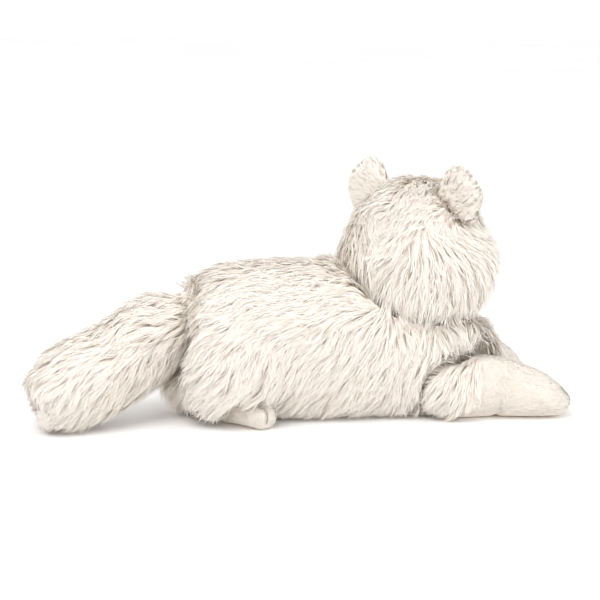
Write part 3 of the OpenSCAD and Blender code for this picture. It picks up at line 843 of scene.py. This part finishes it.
for word, side in SIDES:
    pile = grow(leg_skins[word], others_than(f"leg_{word}"), 210, 2.6 * MM, mane_flow, short_length(21 * MM),
                17 * MM, lift=15, keep=on_mane, obstacles=[trees["torso"]])
    lay_pile([f"foreleg_mane_{word}"], pile, f"foreleg_{word}", [f"foreleg_outer_{word}"])
    off_leg_toes = off_toes(toe_lines[f"leg_{word}"])
    pile = grow(leg_skins[word], others_than(f"leg_{word}"), 230, 2.4 * MM, forward_flow,
                short_length(2.6 * MM), 2.6 * MM, lift=50, keep=lambda p, n: on_leg(p, n) & off_leg_toes(p, n),
                steps=SHORT_STEPS, clump=0.3, stray=0.3 * MM)
    lay_pile([f"foreleg_nap_{word}"], pile, f"foreleg_{word}", [f"foreleg_outer_{word}"],
             width=0.42 * MM)
    pile = grow(foot_skins[word], others_than(f"foot_{word}"), 230, 2.4 * MM, forward_flow,
                short_length(2.4 * MM), 2.4 * MM, lift=50, keep=off_toes(toe_lines[f"foot_{word}"]),
                steps=SHORT_STEPS, clump=0.3, stray=0.3 * MM)
    lay_pile([f"hind_foot_nap_{word}"], pile, f"hind_foot_{word}",
             [f"hind_foot_cover_{word}"], width=0.42 * MM)

    ear_tip = from_head(np.array([-8, side * 58, 62]) * MM)
    seam = from_head(np.array([-8, side * 36, 36]) * MM)
    lining = tree_of(lining_skins[word])
    pile = grow(ear_skins[word], others_than(f"ear_{word}", "head") + [lining], 420, 2.4 * MM,
                lambda p, n: np.tile(unit(ear_tip - seam), (len(p), 1)), short_length(7 * MM), 7 * MM,
                lift=34, steps=3, clump=0.25, stray=0.8 * MM)
    lay_pile([f"ear_pile_{word}"], pile, f"ear_{word}", [f"ear_back_{word}"], width=0.5 * MM)

mouth_lines = [from_head(MOUTH), from_head(MOUTH * (1, -1, 1))]


def off_mouth(p):
    return distance_to_lines(p, mouth_lines) > 1.8 * MM


def from_nose(p, n):
    return turned(unit(to_head(p) - NOSE_TIP), HEAD_TURN)


pile = grow(muzzle_skin, others_than("muzzle"), 300, 2 * MM, from_nose, short_length(3.2 * MM), 3 * MM,
            lift=35, steps=SHORT_STEPS, clump=0.4, stray=0.3 * MM,
            keep=lambda p, n: (np.linalg.norm(to_head(p) - NOSE_TIP, axis=1) > 5.5 * MM) & off_mouth(p))
lay_pile(["muzzle_nap"], pile, "head", ["muzzle_pad"], width=0.45 * MM)

finish_piece(torso_skin, backing, "torso",
             ["torso_side_left", "torso_side_right", "belly_panel", "haunch_cover_left", "haunch_cover_right"])
finish_piece(head_skin, backing, "head",
             ["head_back_left", "head_back_right", "face_panel"])
finish_piece(tail_skin, backing, "tail", ["tail_upper", "tail_lower"])
for word, side in SIDES:
    finish_piece(leg_skins[word], short_plush, f"foreleg_{word}",
                 [f"foreleg_outer_{word}", f"foreleg_inner_{word}"])
    finish_piece(foot_skins[word], short_plush, f"hind_foot_{word}",
                 [f"hind_foot_cover_{word}"])
    finish_piece(ear_skins[word], short_plush, f"ear_{word}", [f"ear_back_{word}"])
    finish_piece(lining_skins[word], ear_velour, f"ear_{word}", [f"ear_lining_{word}"])
finish_piece(muzzle_skin, short_plush, "head", ["muzzle_pad"])

# ---------- threads ----------

def tube(points, radius, around=6):
    """Points and faces of a round tube along a path, closed by a cone at each end."""
    points = np.asarray(points, float)
    along = unit(np.gradient(points, axis=0))
    other = np.array([0, 0, 1.0]) if abs(along[:, 2]).mean() < 0.8 else np.array([1.0, 0, 0])
    a = unit(np.cross(along, other))
    b = np.cross(along, a)
    turn = np.linspace(0, 2 * math.pi, around, endpoint=False)
    ring = a[:, None] * np.cos(turn)[None, :, None] + b[:, None] * np.sin(turn)[None, :, None]
    verts = (points[:, None] + ring * radius).reshape(-1, 3)
    count = len(points)
    faces = [(low + k, low + (k + 1) % around, low + around + (k + 1) % around, low + around + k)
             for low in range(0, (count - 1) * around, around) for k in range(around)]
    ends = np.array([points[0] - along[0] * radius, points[-1] + along[-1] * radius])
    last = (count - 1) * around
    faces += [(count * around, (k + 1) % around, k) for k in range(around)]
    faces += [(count * around + 1, last + k, last + (k + 1) % around) for k in range(around)]
    return np.concatenate([verts, ends]), faces


def twisted(line, radius, turns_per_metre=450, plies=3):
    """A thread of several plies that wind round each other along a line."""
    line = np.asarray(line, float)
    length = np.concatenate([[0], np.cumsum(np.linalg.norm(np.diff(line, axis=0), axis=1))])
    at = np.linspace(0, length[-1], max(12, int(length[-1] / (0.45 * MM))))
    middle = np.stack([np.interp(at, length, line[:, i]) for i in range(3)], 1)
    along = unit(np.gradient(middle, axis=0))
    a = unit(np.cross(along, np.array([0.3, 1.0, 0.2])))
    b = np.cross(along, a)
    verts, faces = [], []
    for ply in range(plies):
        turn = at * turns_per_metre * 2 * math.pi + ply * 2 * math.pi / plies
        path = middle + (a * np.cos(turn)[:, None] + b * np.sin(turn)[:, None]) * radius * 0.5
        v, f = tube(path, radius * 0.55)
        start = sum(len(x) for x in verts)
        verts.append(v)
        faces += [tuple(i + start for i in face) for face in f]
    return np.concatenate(verts), faces


def threads(name, lines, radius, body, nodes):
    verts, faces = [], []
    for line in lines:
        v, f = twisted(line, radius)
        start = sum(len(x) for x in verts)
        verts.append(v)
        faces += [tuple(i + start for i in face) for face in f]
    piece = new_object(name, mesh_of(name, np.concatenate(verts), faces))
    return finish_piece(piece, thread_grey, body, nodes)


for word, side in SIDES:
    threads(f"toe_thread_{word}", toe_lines[f"leg_{word}"], 0.6 * MM, f"foreleg_{word}",
            [f"toe_stitches_{word}"])
    threads(f"hind_toe_thread_{word}", toe_lines[f"foot_{word}"], 0.5 * MM, f"hind_foot_{word}",
            [f"hind_toe_stitches_{word}"])
threads("mouth_thread", mouth_lines, 0.6 * MM, "head", ["mouth_stitch"])

# ---------- eyes and nose ----------

# Radius and distance from the head's centre: the dome, then the ribbed post behind it.
EYE_PROFILE = np.array([
    [0, 49.7], [1.2, 49.6], [2.4, 49.25], [3.5, 48.65], [4.5, 47.8], [5.3, 46.7], [5.75, 45.4], [5.9, 44.0],
    [5.6, 43.2], [2.2, 42.8], [2.0, 42.0], [2.3, 40.5], [2.0, 39.0], [2.3, 37.5], [2.0, 36.0], [1.4, 24.5],
    [0, 24.0]
]) * MM
BEHIND_DOME = 43.5 * MM


def eye(word, side):
    """A domed safety eye on its ribbed post, turned on a lathe about its own axis."""
    turn = side * EYE_TURN
    axis = np.array([math.cos(turn), math.sin(turn), 0])
    flat = np.array([-math.sin(turn), math.cos(turn), 0])
    up = np.array([0, 0, 1.0])
    spans = [np.linspace(a, b, 5)[1:] for a, b in zip(EYE_PROFILE, EYE_PROFILE[1:])]
    fine = np.concatenate([[EYE_PROFILE[0]], *spans])
    around = 40
    angles = np.linspace(0, 2 * math.pi, around, endpoint=False)
    rings = fine[1:-1]
    verts = [fine[0, 1] * axis]
    for radius, height in rings:
        verts += [height * axis + radius * (flat * math.cos(t) + up * math.sin(t)) for t in angles]
    verts.append(fine[-1, 1] * axis)
    verts = np.array(verts)
    faces = [(0, 1 + k, 1 + (k + 1) % around) for k in range(around)]
    for i in range(len(rings) - 1):
        s0, s1 = 1 + i * around, 1 + (i + 1) * around
        faces += [(s0 + k, s1 + k, s1 + (k + 1) % around, s0 + (k + 1) % around) for k in range(around)]
    s0 = 1 + (len(rings) - 1) * around
    faces += [(len(verts) - 1, s0 + (k + 1) % around, s0 + k) for k in range(around)]
    name = f"glass_eye_{word}"
    piece = new_object(name, mesh_of(name, from_head(verts + up * EYE_HEIGHT), faces))
    wide, tall = verts @ flat, verts @ up
    ring = np.hypot(wide, tall) / EYE_RADIUS
    slit = np.hypot(wide * 1.9, tall * 1.05) / EYE_RADIUS
    value = np.where(slit < 0.55, np.minimum(ring, slit * 0.7), np.maximum(ring, 0.5))
    value[verts @ axis < BEHIND_DOME] = 1.2
    iris = piece.data.attributes.new("iris", "FLOAT", "POINT")
    iris.data.foreach_set("value", value.astype(np.float32))
    return finish_piece(piece, eye_material(), "head", [f"eye_{word}"])


for word, side in SIDES:
    eye(word, side)
nose_skin = skin_of("nose_velour", ["nose"], 0.5 * MM, -0.15 * MM, 4)
finish_piece(nose_skin, nose_velour, "head", ["nose"])

# ---------- what is inside ----------

def lumpy(piece, depth, size):
    """Presses a filling in unevenly, as loose fibre is."""
    points, normals = points_of(piece.data), normals_of(piece.data)
    deep = np.array([noise.noise(Vector(p / size)) * 0.5 + 0.5 for p in points])
    set_points(piece.data, points - normals * (deep * depth)[:, None])


def filling(node, voxel):
    piece = skin_of(f"{node}_fibre", [node], voxel, 1.6 * MM, 4)
    lumpy(piece, 1.6 * MM, 9 * MM)
    finish_piece(piece, wadding, frame["nodes"][node]["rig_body"], [node])


for node, voxel in (("torso_stuffing", 3), ("head_stuffing", 3), ("tail_stuffing", 3), ("neck_stuffing", 2),
                    ("tail_root_stuffing", 2)):
    filling(node, voxel * MM)
for word, side in SIDES:
    filling(f"haunch_stuffing_{word}", 2 * MM)
    filling(f"foreleg_stuffing_{word}", 2 * MM)
    filling(f"hind_foot_stuffing_{word}", 1.5 * MM)

BAG_SEAM = 20 * MM
PELLETS_HALF_HEIGHT = 16.8 * MM
bag = skin_of("pellet_bag_cloth", ["pellet_bag", "pellet_fill"], 1.6 * MM, 0.3 * MM, 4)
dent(bag, lambda p, n: -np.exp(-(((p[:, 2] - BAG_SEAM) / (1.2 * MM)) ** 2)) * 0.8 * MM)
finish_piece(bag, bag_weave, "torso", ["pellet_bag"])

PELLET = 1.6 * MM


def pellets():
    """Round plastic pellets that lie loosely in the bag."""
    low, high = (np.array(corner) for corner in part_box("pellet_fill"))
    middle, half = (low + high) / 2, (high - low) / 2 - PELLET
    middle[2], half[2] = BAG_SEAM, PELLETS_HALF_HEIGHT - PELLET
    pitch = PELLET * 2.15
    grid = np.stack(np.meshgrid(*[np.arange(-half[i], half[i], pitch) for i in range(3)], indexing="ij"), -1)
    grid = grid.reshape(-1, 3) + rng.uniform(-0.12, 0.12, (grid.size // 3, 3)) * pitch
    inside = ((grid / half) ** 2).sum(1) < 1
    centres = grid[inside] + middle
    centres = centres[centres[:, 2] > low[2] + PELLET]
    g = (1 + math.sqrt(5)) / 2
    corner = unit(np.array([(-1, g, 0), (1, g, 0), (-1, -g, 0), (1, -g, 0), (0, -1, g), (0, 1, g),
                            (0, -1, -g), (0, 1, -g), (g, 0, -1), (g, 0, 1), (-g, 0, -1), (-g, 0, 1)], float))
    face = np.array([(0, 11, 5), (0, 5, 1), (0, 1, 7), (0, 7, 10), (0, 10, 11), (1, 5, 9), (5, 11, 4),
                     (11, 10, 2), (10, 7, 6), (7, 1, 8), (3, 9, 4), (3, 4, 2), (3, 2, 6), (3, 6, 8),
                     (3, 8, 9), (4, 9, 5), (2, 4, 11), (6, 2, 10), (8, 6, 7), (9, 8, 1)])
    verts = (centres[:, None] + corner[None] * PELLET * np.array([1, 1, 0.8])).reshape(-1, 3)
    faces = (face[None] + np.arange(len(centres))[:, None, None] * 12).reshape(-1, 3)
    piece = new_object("pellets", mesh_of("pellets", verts, faces))
    finish_piece(piece, pellet_plastic, "torso", ["pellet_fill"])


pellets()
for word, side in SIDES:
    washer = frame["nodes"][f"eye_washer_{word}"]
    washer.data.materials.clear()
    washer.data.materials.append(washer_plastic)

# ---------- floor, light and camera ----------

floor_mat = mottled("floor_paper", (0.93, 0.93, 0.93), (0.96, 0.96, 0.96), 3, 0.8, 40, 0.05)
size = 6.0
corners = [(-size, -size, 0), (size, -size, 0), (size, size, 0), (-size, size, 0)]
floor = new_object("floor", mesh_of("floor", corners, [(0, 1, 2, 3)]))
floor.data.materials.append(floor_mat)

world = bpy.data.worlds.new("studio")
bpy.context.scene.world = world
world.use_nodes = True
world.node_tree.nodes["Background"].inputs["Color"].default_value = (1, 1, 1, 1)
world.node_tree.nodes["Background"].inputs["Strength"].default_value = 1.05


def softbox(name, place, aim, size, power):
    light = bpy.data.lights.new(name, "AREA")
    light.shape = "DISK"
    light.size = size
    light.energy = power
    holder = bpy.data.objects.new(name, light)
    bpy.context.scene.collection.objects.link(holder)
    holder.location = place
    holder.rotation_euler = (Vector(aim) - Vector(place)).to_track_quat("-Z", "Y").to_euler()


middle = (Vector(cad_box[0]) + Vector(cad_box[1])) / 2
softbox("key", middle + Vector((-0.4, -0.7, 1.2)), middle, 0.9, 9)
softbox("fill", middle + Vector((1.0, -1.3, 0.6)), middle, 1.2, 4)

camera = bpy.data.objects.new("camera", bpy.data.cameras.new("camera"))
bpy.context.scene.collection.objects.link(camera)
bpy.context.scene.camera = camera
AIM = Vector((0.0120, 0.0140, 0.0772))
AZIMUTH, ELEVATION, ROLL, DISTANCE = math.radians(-9.5), math.radians(11), math.radians(0.6), 1.25
level = math.cos(ELEVATION)
back = Vector((math.sin(AZIMUTH) * level, -math.cos(AZIMUTH) * level, math.sin(ELEVATION)))
camera.location = AIM + back * DISTANCE
camera.rotation_euler = ((-back).to_track_quat("-Z", "Y") @ Quaternion((0, 0, 1), ROLL)).to_euler()
camera.data.sensor_width = 36
camera.data.lens = 104.8
bpy.context.scene.view_settings.view_transform = "Standard"
# White pile is lit mostly by light that has already bounced.
bpy.context.scene.cycles.max_bounces = 16
bpy.context.scene.cycles.diffuse_bounces = 12
